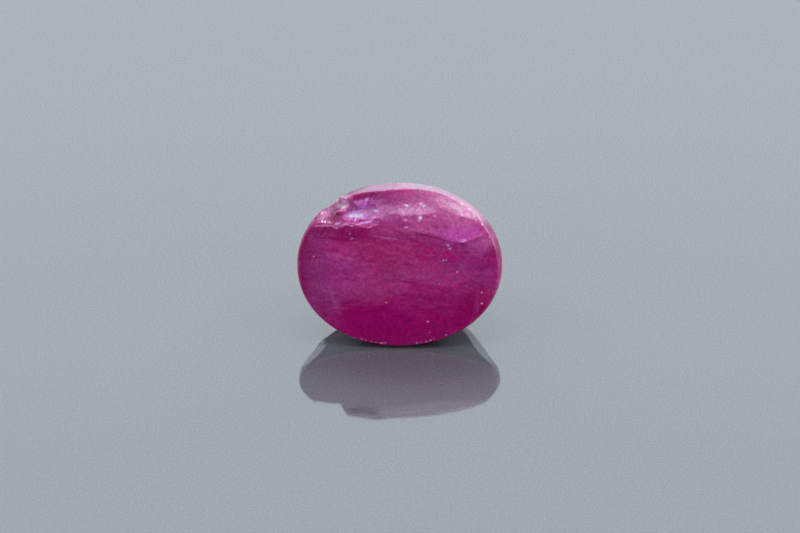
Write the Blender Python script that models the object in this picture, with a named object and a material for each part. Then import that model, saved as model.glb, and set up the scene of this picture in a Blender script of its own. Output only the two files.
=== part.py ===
"""An oval ruby, cut by hand and left with its natural breaks, lying on one facet of its back.

The stone is cut in its own frame, in millimetres, so that Blender's merge distances stay far below its details:
X along the oval, Y up the front face, Z out of the front face, and the origin in the middle of the girdle.
It is scaled to metres at the end, and turned so that its resting facet lies on the ground, at Z = 0.
"""

import math

import bmesh
import bpy
from mathutils import Matrix, Vector, noise

# Driving dimensions, in millimetres and degrees
LENGTH = 10.0
WIDTH = 7.98
SQUARENESS = 2.07
GIRDLE = 0.22
CROWN_LEAN = 35.0
FACE_HEIGHT = 0.60
FACE_RADIUS = 28.0
FACE_SLOPE_X = 0.019
FACE_SLOPE_Y = 0.050
REST_TILT = 60.5
BACK_DEPTH = 4.3

# Facet tiers of the back, from the girdle to the keel: the share of the back's depth where each starts
# at the ends of the oval and at its sides, and its slope from the girdle plane at both
FACETS_ROUND = 12
TIERS = (
    {"start_ends": 0.05, "start_sides": 0.05, "slope_ends": 58.0, "slope_sides": 61.0},
    {"start_ends": 0.51, "start_sides": 0.76, "slope_ends": 37.0, "slope_sides": 34.0},
    {"start_ends": 0.72, "start_sides": 0.93, "slope_ends": 24.0, "slope_sides": 17.0},
)
FIRST_INSET = 0.03
HAND_ERROR = 1.6

# The flat flake on the upper right of the front face: the middle and radius of the ring that it cuts
FLAKE_MIDDLE = (2.14, 5.08)
FLAKE_RADIUS = 4.06

# The rough break at the upper left of the front face, where the rim is gone
CHIP_CORNERS = ((-5.3, 1.4), (0.5, 4.4))
CHIP_LOWER_EDGE = 1.92
CHIP_UPPER_EDGE = 3.08
CHIP_UPPER_TURN = -2.35
CHIP_RIGHT_END = -1.10
CHIP_DEPTH = 0.32
CHIP_LEDGE = 0.12
CHIP_RIM_START = 0.885
CHIP_RIM_DROP = 1.9
CHIP_CELL = 0.10

# The rough break low on the left of the back: how its plane faces, how far out that is, and its size
BREAK_AZIMUTH = 218.0
BREAK_SLOPE = 52.0
BREAK_REACH = 3.98
BREAK_HALF_LENGTH = 2.1
BREAK_HALF_WIDTH = 1.35
BREAK_MARGIN = 0.6
BREAK_DEPTH = 0.55
BREAK_LEDGE = 0.17
BREAK_CELL = 0.15

# How finely the rounds are divided, and how the cutting blocks are made
SEGMENTS = 128
FACE_RINGS = 9
RIM_STEPS = 12
SPARE_DEPTH = 1.0
CUTTER_TOP = 1.6
CELL_SHIFT = 0.7
CUT_TOLERANCE = 1e-5
SHARP_ANGLE = 12.0

MM = 0.001
RUBY_COLOUR = (0.26, 0.012, 0.10, 1.0)
RUBY_ROUGHNESS = 0.22


def half_width(azimuth):
    """How far the girdle reaches from the middle, measured square to a facet that faces this azimuth."""
    power = SQUARENESS / (SQUARENESS - 1.0)
    along = abs(LENGTH / 2 * math.cos(azimuth)) ** power
    across = abs(WIDTH / 2 * math.sin(azimuth)) ** power
    return (along + across) ** (1 / power)


def girdle_point(angle):
    """A point of the oval, which is a little fuller than an ellipse."""
    cosine = math.cos(angle)
    sine = math.sin(angle)
    x = LENGTH / 2 * math.copysign(abs(cosine) ** (2 / SQUARENESS), cosine)
    y = WIDTH / 2 * math.copysign(abs(sine) ** (2 / SQUARENESS), sine)
    return Vector((x, y, 0.0))


def face_height(x, y):
    """The front face: a shallow dome that leans a little, so that the bevel is widest at the top."""
    return FACE_HEIGHT + FACE_SLOPE_X * x + FACE_SLOPE_Y * y - (x * x + y * y) / (2 * FACE_RADIUS)


def rim_point(edge):
    """Where the bevel, which leans in from the girdle, meets the front face."""
    inward = -edge.normalized()
    height = 0.0
    for _ in range(RIM_STEPS):
        reach = edge + inward * height * math.tan(math.radians(CROWN_LEAN))
        height = face_height(reach.x, reach.y)
    return Vector((reach.x, reach.y, height))


def bridge(mesh, lower, upper):
    """Faces between two rings of the same count, facing outward when upper lies above lower."""
    for i in range(len(lower)):
        j = (i + 1) % len(lower)
        mesh.faces.new((lower[i], lower[j], upper[j], upper[i]))


def preform():
    """The oval block before its back is cut: domed front, bevel, girdle, straight sides and a flat bottom."""
    mesh = bmesh.new()
    edge = [girdle_point(2 * math.pi * i / SEGMENTS) for i in range(SEGMENTS)]
    rim = [rim_point(point) for point in edge]
    outlines = [
        [point - Vector((0, 0, BACK_DEPTH + SPARE_DEPTH)) for point in edge],
        [point - Vector((0, 0, GIRDLE)) for point in edge],
        edge,
        rim,
    ]
    for step in range(1, FACE_RINGS):
        share = 1 - step / FACE_RINGS
        outlines.append([Vector((p.x * share, p.y * share, face_height(p.x * share, p.y * share))) for p in rim])
    rings = [[mesh.verts.new(point) for point in outline] for outline in outlines]
    for lower, upper in zip(rings, rings[1:]):
        bridge(mesh, lower, upper)
    middle = mesh.verts.new((0, 0, face_height(0, 0)))
    for i in range(SEGMENTS):
        mesh.faces.new((rings[-1][i], rings[-1][(i + 1) % SEGMENTS], middle))
    mesh.faces.new(list(reversed(rings[0])))
    return mesh


def cut_flat(mesh, normal, distance):
    """Grinds away what lies beyond a plane, and closes the cut with one flat facet."""
    cut = bmesh.ops.bisect_plane(
        mesh,
        geom=list(mesh.verts) + list(mesh.edges) + list(mesh.faces),
        dist=CUT_TOLERANCE,
        plane_co=normal * distance,
        plane_no=normal,
        clear_outer=True,
    )
    edges = [item for item in cut["geom_cut"] if isinstance(item, bmesh.types.BMEdge)]
    bmesh.ops.holes_fill(mesh, edges=edges, sides=0)


def cut_flake(mesh):
    """Cuts the flat flake: the plane through a ring that lies on the dome."""
    x, y = FLAKE_MIDDLE
    slope_x = FACE_SLOPE_X - x / FACE_RADIUS
    slope_y = FACE_SLOPE_Y - y / FACE_RADIUS
    height = FACE_HEIGHT + (x * x + y * y - FLAKE_RADIUS**2) / (2 * FACE_RADIUS)
    normal = Vector((-slope_x, -slope_y, 1.0))
    cut_flat(mesh, normal.normalized(), height / normal.length)


def facing(azimuth, slope):
    """The outward direction of a facet of the back."""
    level = math.sin(slope)
    return Vector((math.cos(azimuth) * level, math.sin(azimuth) * level, -math.cos(slope)))


def tier_values(tier, azimuth):
    """The slope of a tier's facet at this azimuth, and the depth at which it starts."""
    sideways = math.sin(azimuth) ** 2
    slope = tier["slope_ends"] + (tier["slope_sides"] - tier["slope_ends"]) * sideways
    start = tier["start_ends"] + (tier["start_sides"] - tier["start_ends"]) * sideways
    return math.radians(slope), start * BACK_DEPTH


def hand_error(azimuth, number):
    """How far a facet's slope is off, because the stone was cut by hand."""
    place = Vector((3.1 * math.cos(azimuth), 3.1 * math.sin(azimuth), 7.7 * number))
    return math.radians(HAND_ERROR * noise.noise(place))


def back_facets():
    """Yields each facet's direction and distance, the one that the stone lies on first.

    In a tier, a facet starts where the one above it has reached.
    """
    for k in range(FACETS_ROUND):
        azimuth = 2 * math.pi * k / FACETS_ROUND - math.pi / 2
        inset = FIRST_INSET
        depth_above = None
        for number, tier in enumerate(TIERS):
            slope, depth = tier_values(tier, azimuth)
            if depth_above is not None:
                inset += (depth - depth_above) / math.tan(slope_above)
            if k == 0 and number == 0:
                slope = math.radians(REST_TILT)
            else:
                slope += hand_error(azimuth, number)
            distance = (half_width(azimuth) - inset) * math.sin(slope) + depth * math.cos(slope)
            yield facing(azimuth, slope), distance
            slope_above = slope
            depth_above = depth


def uneven(u, v, pace, layer):
    """A repeatable unevenness between -1 and 1, finer at a higher pace."""
    return noise.noise(Vector((pace * u, pace * v, layer)))


def ledged(depth, ledge):
    """Steps a depth into ledges with short steep risers, as a break in a crystal runs along its layers."""
    steps = depth / ledge
    whole = math.floor(steps)
    rise = steps - whole
    return ledge * (whole + rise**4 / (rise**4 + (1 - rise) ** 4))


def chip_depth(x, y):
    """How deep the front break lies below the front face, or less than nothing outside it."""
    slow = uneven(x, y, 1.2, 4.0)
    quick = uneven(x, 1.8 * y, 2.7, 9.0)
    from_lower_edge = 0.80 * (y - CHIP_LOWER_EDGE - 0.22 * slow - 0.10 * quick)
    from_right_end = 0.55 * (CHIP_RIGHT_END - x + 0.45 * slow + 0.20 * quick)
    from_upper_edge = 1.3 * (CHIP_UPPER_EDGE - y + 0.9 * max(0.0, CHIP_UPPER_TURN - x) + 0.30 * slow)
    outwards = math.hypot(2 * x / LENGTH, 2 * y / WIDTH)
    floor = CHIP_DEPTH + 0.10 * slow + CHIP_RIM_DROP * LENGTH / 2 * max(0.0, outwards - CHIP_RIM_START)
    depth = min(from_lower_edge, from_right_end, from_upper_edge, floor)
    return ledged(depth + 0.05 * quick, CHIP_LEDGE)


def break_depth(u, v):
    """How deep the back break lies below its own plane: steep on one side, with ledges that run along it."""
    slow = uneven(u, v, 0.9, 2.0)
    quick = uneven(u, 1.7 * v, 2.1, 7.0)
    from_steep_side = 0.75 * (v + BREAK_HALF_WIDTH + 0.50 * slow + 0.15 * quick)
    from_flat_side = 0.26 * (BREAK_HALF_WIDTH - v + 0.70 * slow + 0.20 * quick)
    from_ends = 0.40 * (BREAK_HALF_LENGTH - abs(u) + 0.60 * slow + 0.20 * quick)
    depth = min(from_steep_side, from_flat_side, from_ends, BREAK_DEPTH + 0.12 * slow)
    return ledged(depth + 0.06 * quick, BREAK_LEDGE)


def shifted(spot, cell):
    """Moves a grid point a little, so that the broken surface shows no rows."""
    u, v = spot
    along = CELL_SHIFT * cell * uneven(u, v, 9.3, 1.0)
    across = CELL_SHIFT * cell * uneven(u, v, 9.3, 5.0)
    return u + along, v + across


def rough_block(name, corners, cell, underside):
    """A closed block that cuts a break: its underside lies at the height that underside(u, v) gives."""
    mesh = bmesh.new()
    (left, bottom), (right, top_edge) = corners
    columns = round((right - left) / cell)
    rows = round((top_edge - bottom) / cell)
    low = []
    top = []
    for i in range(columns + 1):
        spots = [(left + i * cell, bottom + j * cell) for j in range(rows + 1)]
        if 0 < i < columns:
            spots[1:-1] = [shifted(spot, cell) for spot in spots[1:-1]]
        low.append([mesh.verts.new((u, v, underside(u, v))) for u, v in spots])
        top.append([mesh.verts.new((u, v, CUTTER_TOP)) for u, v in (spots[0], spots[-1])])
    for i in range(columns):
        for j in range(rows):
            mesh.faces.new((low[i][j], low[i][j + 1], low[i + 1][j + 1], low[i + 1][j]))
        mesh.faces.new((top[i][0], top[i + 1][0], top[i + 1][1], top[i][1]))
        mesh.faces.new((low[i][0], low[i + 1][0], top[i + 1][0], top[i][0]))
        mesh.faces.new((low[i + 1][-1], low[i][-1], top[i][1], top[i + 1][1]))
    mesh.faces.new([top[0][1], *reversed(low[0]), top[0][0]])
    mesh.faces.new([top[-1][0], *low[-1], top[-1][1]])
    bmesh.ops.triangulate(mesh, faces=list(mesh.faces))
    bmesh.ops.recalc_face_normals(mesh, faces=list(mesh.faces))
    return object_of(name, mesh)


def chip_cutter():
    """Cuts the break at the upper left of the front face, seen from the front."""
    return rough_block(
        "chip_cutter", CHIP_CORNERS, CHIP_CELL, lambda x, y: face_height(x, y) - chip_depth(x, y)
    )


def break_cutter():
    """Cuts the break in the back, seen square to its plane."""
    half_length = BREAK_HALF_LENGTH + BREAK_MARGIN
    half_height = BREAK_HALF_WIDTH + BREAK_MARGIN
    corners = ((-half_length, -half_height), (half_length, half_height))
    cutter = rough_block("break_cutter", corners, BREAK_CELL, lambda u, v: -break_depth(u, v))
    outward = facing(math.radians(BREAK_AZIMUTH), math.radians(BREAK_SLOPE))
    along = Vector((0, 0, 1)).cross(outward).normalized()
    turn = Matrix((along, outward.cross(along), outward)).transposed().to_4x4()
    cutter.data.transform(Matrix.Translation(outward * BREAK_REACH) @ turn)
    return cutter


def object_of(name, mesh):
    data = bpy.data.meshes.new(name)
    mesh.to_mesh(data)
    mesh.free()
    obj = bpy.data.objects.new(name, data)
    bpy.context.scene.collection.objects.link(obj)
    return obj


def cut_stone():
    """The stone with all its flat cuts, before anything is broken off."""
    mesh = preform()
    cut_flake(mesh)
    for outward, distance in back_facets():
        cut_flat(mesh, outward, distance)
    bmesh.ops.recalc_face_normals(mesh, faces=list(mesh.faces))
    return object_of("ruby", mesh)


def break_off(stone, cutter):
    cutter.hide_render = True
    cutter.display_type = "WIRE"
    cut = stone.modifiers.new(cutter.name, "BOOLEAN")
    cut.operation = "DIFFERENCE"
    cut.solver = "EXACT"
    cut.object = cutter


def ruby_finish():
    material = bpy.data.materials.new("ruby")
    material.use_nodes = True
    shader = material.node_tree.nodes["Principled BSDF"]
    shader.inputs["Base Color"].default_value = RUBY_COLOUR
    shader.inputs["Roughness"].default_value = RUBY_ROUGHNESS
    shader.inputs["Metallic"].default_value = 0.0
    return material


def resting_place(mesh):
    """Where the tilted stone stands, so that its resting facet is at Z = 0 and its box is centred."""
    turn = Matrix.Rotation(math.radians(REST_TILT), 3, "X")
    reaches = [(turn @ vertex.co).y for vertex in mesh.vertices]
    _, distance = next(back_facets())
    return Vector((0, -(min(reaches) + max(reaches)) / 2, distance * MM))


def main():
    for obj in list(bpy.data.objects):
        bpy.data.objects.remove(obj)
    ruby = cut_stone()
    cutters = [chip_cutter(), break_cutter()]
    for obj in (ruby, *cutters):
        obj.data.transform(Matrix.Scale(MM, 4))
        obj.rotation_euler = (math.radians(REST_TILT), 0, 0)
    place = resting_place(ruby.data)
    for obj in (ruby, *cutters):
        obj.location = place
    for cutter in cutters:
        break_off(ruby, cutter)
    ruby.data.materials.append(ruby_finish())
    ruby.data.shade_smooth()
    ruby.data.set_sharp_from_angle(angle=math.radians(SHARP_ANGLE))


main()
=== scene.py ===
"""The looks of a polished oval ruby: its fine surface, inner colour and veils, a floor and soft light."""

import logging
import math
from dataclasses import dataclass
from enum import Enum, IntEnum

import bpy
import numpy as np
from mathutils import Matrix, Vector, noise


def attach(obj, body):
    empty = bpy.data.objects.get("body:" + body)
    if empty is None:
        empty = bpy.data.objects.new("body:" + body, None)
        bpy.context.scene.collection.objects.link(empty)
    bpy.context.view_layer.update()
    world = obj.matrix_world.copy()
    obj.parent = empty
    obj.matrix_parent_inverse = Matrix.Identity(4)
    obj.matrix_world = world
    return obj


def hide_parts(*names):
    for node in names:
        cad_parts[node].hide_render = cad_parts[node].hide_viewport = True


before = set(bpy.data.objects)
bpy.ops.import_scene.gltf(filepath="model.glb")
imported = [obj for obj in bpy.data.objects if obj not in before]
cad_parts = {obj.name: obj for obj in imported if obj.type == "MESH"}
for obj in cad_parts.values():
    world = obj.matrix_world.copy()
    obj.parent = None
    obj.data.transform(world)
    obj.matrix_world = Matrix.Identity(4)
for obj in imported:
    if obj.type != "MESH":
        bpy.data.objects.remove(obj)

logging.basicConfig(level=logging.INFO, format="%(message)s")
LOG = logging.getLogger("ruby")

MM = 0.001
NODE = "ruby"
Colour = tuple[float, float, float]
Point = tuple[float, float, float]
Span = tuple[float, float]
Socket = bpy.types.NodeSocket


class Mask(Enum):
    """The masks that the mesh carries for its materials."""

    EDGE = "edge"
    GROUND_AND_SHEEN = "ground"
    FLAKE = "flake"
    BACK = "back"


class Region(Enum):
    """The kinds of surface on the stone, each with a material slot of its own."""

    POLISHED = 0
    BROKEN = 1


class Surface(IntEnum):
    """The surfaces of the cut, in the order of its distances. The back's other facets come after them."""

    FACE = 0
    FLAKE = 1
    BEVEL = 2
    GIRDLE = 3
    REST = 4


def rise(value: np.ndarray, start: float, length: float) -> np.ndarray:
    """Gives how far values have risen past a start over a length, from 0 to 1."""
    return np.clip((value - start) / length, 0.0, 1.0)


@dataclass(frozen=True)
class StoneFrame:
    """The stone's own frame, in millimetres: X along the oval, Y up the face, Z out of it.

    Args:
        tilt: how far the girdle's plane leans back from level, in degrees.
        back: where the girdle's middle lies along world Y.
        height: how high the girdle's middle lies above the floor.
    """

    tilt: float = 60.5
    back: float = -1.0102
    height: float = 3.5525

    def to_world(self) -> Matrix:
        """Places the stone's frame in the world.

        Returns:
            The matrix from the stone's frame to the world.
        """
        turn = Matrix.Rotation(math.radians(self.tilt), 4, "X")
        place = Matrix.Translation(Vector((0.0, self.back, self.height)) * MM)
        return place @ turn @ Matrix.Scale(MM, 4)

    def to_stone(self) -> Matrix:
        """Gives the matrix from the world to the stone's frame."""
        return self.to_world().inverted()

    def middle(self) -> Vector:
        """Gives the middle of the girdle in the world, in metres."""
        return self.to_world() @ Vector((0.0, 0.0, 0.0))


@dataclass(frozen=True)
class Tier:
    """One tier of facets on the back: where it starts, as a share of the depth, and how steep it is."""

    start_ends: float
    start_sides: float
    slope_ends: float
    slope_sides: float

    def at(self, azimuth: float, depth: float) -> tuple[float, float]:
        """Gives the slope and the starting depth of this tier's facet.

        Args:
            azimuth: the way the facet faces, in radians.
            depth: the whole depth of the back.

        Returns:
            The slope in radians and the starting depth in millimetres.
        """
        sideways = math.sin(azimuth) ** 2
        slope = self.slope_ends + (self.slope_sides - self.slope_ends) * sideways
        start = self.start_ends + (self.start_sides - self.start_ends) * sideways
        return math.radians(slope), start * depth


@dataclass(frozen=True)
class Cut:
    """The cut shape of the unbroken stone, as surfaces that a point can be measured against.

    Args:
        half_length: half of the oval's length.
        half_width: half of the oval's width.
        squareness: the power that draws the oval, where 2 is an ellipse.
        crown_lean: how far the bevel leans in from upright.
        face_height: how high the face's middle stands above the girdle.
        face_radius: the radius of the domed face.
        face_slope: how the face leans along the length and the width.
        flake_middle: where the flat flake is centred.
        flake_radius: how far the flake reaches from there.
        rest_tilt: the slope of the facet that the stone lies on.
        back_depth: how deep the back is.
        facets_round: how many facets a tier has.
        first_inset: how far the first tier starts inside the girdle.
        hand_error: how far a facet's slope may be off, in degrees.
        error_reach: how far apart neighbouring facets draw their error from the noise.
        error_step: how far apart the tiers draw it.
        tiers: the tiers of the back, from the girdle down.
    """

    half_length: float = 5.0
    half_width: float = 3.99
    squareness: float = 2.07
    crown_lean: float = math.radians(35.0)
    face_height: float = 0.60
    face_radius: float = 28.0
    face_slope: Span = (0.019, 0.050)
    flake_middle: Span = (2.14, 5.08)
    flake_radius: float = 4.06
    rest_tilt: float = math.radians(StoneFrame.tilt)
    back_depth: float = 4.3
    facets_round: int = 12
    first_inset: float = 0.03
    hand_error: float = 1.6
    error_reach: float = 3.1
    error_step: float = 7.7
    tiers: tuple[Tier, ...] = (
        Tier(0.05, 0.05, 58.0, 61.0),
        Tier(0.51, 0.76, 37.0, 34.0),
        Tier(0.72, 0.93, 24.0, 17.0),
    )

    def dome(self, x: np.ndarray, y: np.ndarray) -> np.ndarray:
        """Gives the height of the domed front face."""
        slope_x, slope_y = self.face_slope
        return self.face_height + slope_x * x + slope_y * y - (x * x + y * y) / (2 * self.face_radius)

    def flake(self) -> tuple[Vector, float]:
        """Works out the flat flake's plane.

        Returns:
            Its outward direction and its distance.
        """
        x, y = self.flake_middle
        slope_x = self.face_slope[0] - x / self.face_radius
        slope_y = self.face_slope[1] - y / self.face_radius
        height = self.face_height + (x * x + y * y - self.flake_radius**2) / (2 * self.face_radius)
        normal = Vector((-slope_x, -slope_y, 1.0))
        return normal.normalized(), height / normal.length

    def reach(self, azimuth: float) -> float:
        """Works out how far the girdle reaches, measured square to a facet.

        Args:
            azimuth: the way that the facet faces, in radians.

        Returns:
            The reach in millimetres.
        """
        power = self.squareness / (self.squareness - 1.0)
        along = abs(self.half_length * math.cos(azimuth)) ** power
        across = abs(self.half_width * math.sin(azimuth)) ** power
        return (along + across) ** (1 / power)

    def back_facets(self) -> list[tuple[Vector, float]]:
        """Works out the facets of the back from the tiers.

        Returns:
            Each facet's outward direction and distance, the resting facet first.
        """
        facets = []
        for k in range(self.facets_round):
            azimuth = 2 * math.pi * k / self.facets_round - math.pi / 2
            inset = self.first_inset
            depth_above = None
            slope_above = 0.0
            for number, tier in enumerate(self.tiers):
                slope, depth = tier.at(azimuth, self.back_depth)
                if depth_above is not None:
                    inset += (depth - depth_above) / math.tan(slope_above)
                if k == 0 and number == 0:
                    slope = self.rest_tilt
                else:
                    spot = (self.error_reach * math.cos(azimuth), self.error_reach * math.sin(azimuth))
                    error = noise.noise(Vector((*spot, self.error_step * number)))
                    slope += math.radians(self.hand_error * error)
                level = math.sin(slope)
                outward = Vector((math.cos(azimuth) * level, math.sin(azimuth) * level, -math.cos(slope)))
                facets.append((outward, (self.reach(azimuth) - inset) * level + depth * math.cos(slope)))
                slope_above = slope
                depth_above = depth
        return facets

    def distances(self, points: np.ndarray) -> np.ndarray:
        """Measures points against every surface of the cut.

        Args:
            points: places in the stone's frame, one a row.

        Returns:
            One column a surface: face, flake, bevel, girdle and the back's facets. Outside is positive.
        """
        x, y, z = points.T
        size = np.hypot(x, y)
        along = np.abs(x / self.half_length) ** self.squareness
        across = np.abs(y / self.half_width) ** self.squareness
        oval = np.maximum((along + across) ** (1 / self.squareness), 1e-6)
        from_edge = size - size / oval
        flake_normal, flake_distance = self.flake()
        columns = [
            z - self.dome(x, y),
            points @ np.array(flake_normal) - flake_distance,
            (from_edge + z * math.tan(self.crown_lean)) * math.cos(self.crown_lean),
            from_edge,
        ]
        for outward, distance in self.back_facets():
            columns.append(points @ np.array(outward) - distance)
        return np.stack(columns, axis=1)

    def directions(self, points: np.ndarray) -> np.ndarray:
        """Gives the outward direction of every surface of the cut, as it is nearest to each point.

        Args:
            points: places in the stone's frame, one a row.

        Returns:
            For each point one direction a surface, in the order of the distances.
        """
        x, y, _ = points.T
        power = self.squareness - 1.0
        rim_x = np.sign(x) * np.abs(x / self.half_length) ** power / self.half_length
        rim_y = np.sign(y) * np.abs(y / self.half_width) ** power / self.half_width
        rim = np.stack([rim_x, rim_y, np.zeros(len(x))], axis=1)
        rim /= np.maximum(np.linalg.norm(rim, axis=1), 1e-9)[:, None]
        slope_x, slope_y = self.face_slope
        slopes = (x / self.face_radius - slope_x, y / self.face_radius - slope_y)
        face = np.stack([*slopes, np.ones(len(x))], axis=1)
        face /= np.linalg.norm(face, axis=1)[:, None]
        ahead = np.array([0.0, 0.0, 1.0])
        columns = [
            face,
            np.tile(np.array(self.flake()[0]), (len(x), 1)),
            rim * math.cos(self.crown_lean) + ahead * math.sin(self.crown_lean),
            rim,
        ]
        columns += [np.tile(np.array(outward), (len(x), 1)) for outward, _ in self.back_facets()]
        return np.stack(columns, axis=1)

    def edges(self, points: np.ndarray) -> tuple[np.ndarray, np.ndarray, np.ndarray]:
        """Measures how near points are to an edge between two surfaces.

        Args:
            points: places in the stone's frame, one a row.

        Returns:
            The distance to the edge along the surface, how sharp the edge is as the difference between its
            two directions, and the move that would put the point on it.
        """
        distances = self.distances(points)
        order = np.argsort(distances, axis=1)[:, -2:]
        first, second = np.take_along_axis(distances, order, axis=1).T
        ways = np.take_along_axis(self.directions(points), order[:, :, None], axis=1)
        turn = np.linalg.norm(ways[:, 1] - ways[:, 0], axis=1)
        likeness = (ways[:, 0] * ways[:, 1]).sum(axis=1)
        rest = np.maximum(1.0 - likeness**2, 1e-6)
        along_first = (first - likeness * second) / rest
        along_second = (second - likeness * first) / rest
        move = -along_first[:, None] * ways[:, 0] - along_second[:, None] * ways[:, 1]
        return (second - first) / np.maximum(turn, 1e-6), turn, move


@dataclass
class Sheet:
    """A node tree that is being wired, with short ways to place the nodes that are used most."""

    tree: bpy.types.NodeTree

    def add(self, kind: str, **settings: object) -> bpy.types.Node:
        """Places a node.

        Args:
            kind: the node's type.
            settings: the properties that it gets.

        Returns:
            The node.
        """
        node = self.tree.nodes.new(kind)
        for name, value in settings.items():
            setattr(node, name, value)
        return node

    def put(self, socket: Socket, value: object) -> None:
        """Links a socket to another, or gives it a fixed value.

        Args:
            socket: the input that is filled.
            value: an output, a number, a vector or a colour.
        """
        if isinstance(value, bpy.types.NodeSocket):
            self.tree.links.new(value, socket)
        elif isinstance(value, tuple) and socket.type == "RGBA":
            socket.default_value = (*value, 1.0)
        else:
            socket.default_value = value

    def math(self, operation: str, *values: object, clamp: bool = False) -> Socket:
        """Places a Math node.

        Args:
            operation: the name of the operation.
            values: one to three numbers or sockets.
            clamp: whether the result stays between 0 and 1.

        Returns:
            The result's socket.
        """
        node = self.add("ShaderNodeMath", operation=operation, use_clamp=clamp)
        for socket, value in zip(node.inputs, values):
            self.put(socket, value)
        return node.outputs[0]

    def vector(self, operation: str, *values: object) -> Socket:
        """Places a Vector Math node.

        Args:
            operation: the name of the operation.
            values: one to three vectors or sockets.

        Returns:
            The vector's socket.
        """
        node = self.add("ShaderNodeVectorMath", operation=operation)
        for socket, value in zip(node.inputs, values):
            self.put(socket, value)
        return node.outputs["Vector"]

    def length(self, vector: Socket) -> Socket:
        """Measures a vector.

        Args:
            vector: the vector.

        Returns:
            Its length.
        """
        node = self.add("ShaderNodeVectorMath", operation="LENGTH")
        self.put(node.inputs[0], vector)
        return node.outputs["Value"]

    def scaled(self, vector: Socket, factor: object) -> Socket:
        """Makes a vector longer or shorter.

        Args:
            vector: the vector.
            factor: how many times as long it becomes.

        Returns:
            The new vector.
        """
        node = self.add("ShaderNodeVectorMath", operation="SCALE")
        self.put(node.inputs[0], vector)
        self.put(node.inputs["Scale"], factor)
        return node.outputs["Vector"]

    def ramp(
        self, value: Socket, low: object, high: object, start: object = 0.0, end: object = 1.0
    ) -> Socket:
        """Maps a value smoothly from one range to another, and holds it beyond the ends.

        Args:
            value: the value.
            low: where its range starts.
            high: where its range ends.
            start: what comes out at the low end.
            end: what comes out at the high end.

        Returns:
            The mapped value.
        """
        node = self.add("ShaderNodeMapRange", interpolation_type="SMOOTHSTEP")
        for socket, entry in zip(node.inputs, (value, low, high, start, end)):
            self.put(socket, entry)
        return node.outputs[0]

    def mix(self, share: object, first: object, second: object) -> Socket:
        """Mixes two colours.

        Args:
            share: how much of the second colour goes in, from 0 to 1.
            first: the first colour.
            second: the second colour.

        Returns:
            The mixed colour.
        """
        node = self.add("ShaderNodeMix", data_type="RGBA")
        self.put(node.inputs[0], share)
        self.put(node.inputs[6], first)
        self.put(node.inputs[7], second)
        return node.outputs[2]

    def noise(self, place: Socket, scale: float, detail: float = 3.0, twist: float = 0.0) -> bpy.types.Node:
        """Places a Noise Texture node.

        Args:
            place: the vector that it reads.
            scale: how many patches there are to a millimetre.
            detail: how many finer layers are added.
            twist: how strongly it is distorted.

        Returns:
            The node, with the outputs Fac and Color.
        """
        node = self.add("ShaderNodeTexNoise")
        for name, value in (("Vector", place), ("Scale", scale), ("Detail", detail), ("Distortion", twist)):
            self.put(node.inputs[name], value)
        return node

    def drift(self, place: Socket, scale: float, detail: float) -> Socket:
        """Gives noise as a vector that is nothing on average."""
        return self.vector("SUBTRACT", self.noise(place, scale, detail).outputs["Color"], (0.5, 0.5, 0.5))

    def dots(self, place: Socket, scale: float, size: float, share: float) -> Socket:
        """Scatters small round dots.

        Args:
            place: the vector that the dots follow.
            scale: how many cells there are to a millimetre.
            size: a dot's radius as a share of a cell.
            share: how many of the cells hold one, from 0 to 1.

        Returns:
            A mask of the dots.
        """
        cells = self.add("ShaderNodeTexVoronoi", feature="F1")
        self.put(cells.inputs["Vector"], place)
        self.put(cells.inputs["Scale"], scale)
        draw = self.add("ShaderNodeSeparateColor")
        self.put(draw.inputs[0], cells.outputs["Color"])
        chosen = self.math("LESS_THAN", draw.outputs[0], share)
        disc = self.ramp(cells.outputs["Distance"], 0.5 * size, size, 1.0, 0.0)
        return self.math("MULTIPLY", chosen, disc)

    def group(self, tree: bpy.types.NodeTree, **entries: object) -> bpy.types.Node:
        """Places a node group.

        Args:
            tree: the group.
            entries: what its inputs get, by name.

        Returns:
            The node.
        """
        node = self.add("ShaderNodeGroup", node_tree=tree)
        for name, value in entries.items():
            self.put(node.inputs[name], value)
        return node


class Effect:
    """A shader node group that several materials share, built once."""

    title: str = "effect"
    takes: dict[str, str] = {}
    gives: dict[str, str] = {}

    @classmethod
    def tree(cls) -> bpy.types.NodeTree:
        """Gives the group, which is wired the first time.

        Returns:
            The node group.
        """
        known = bpy.data.node_groups.get(cls.title)
        if known:
            return known
        tree = bpy.data.node_groups.new(cls.title, "ShaderNodeTree")
        for direction, sockets in (("INPUT", cls.takes), ("OUTPUT", cls.gives)):
            for name, kind in sockets.items():
                tree.interface.new_socket(name=name, in_out=direction, socket_type="NodeSocket" + kind)
        sheet = Sheet(tree)
        entry = sheet.add("NodeGroupInput")
        end = sheet.add("NodeGroupOutput")
        for name, socket in cls.wire(sheet, entry.outputs).items():
            sheet.put(end.inputs[name], socket)
        return tree

    @staticmethod
    def wire(sheet: Sheet, entry: bpy.types.NodeOutputs) -> dict[str, Socket]:
        """Wires the group's inside and names what comes out."""
        raise NotImplementedError


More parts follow.
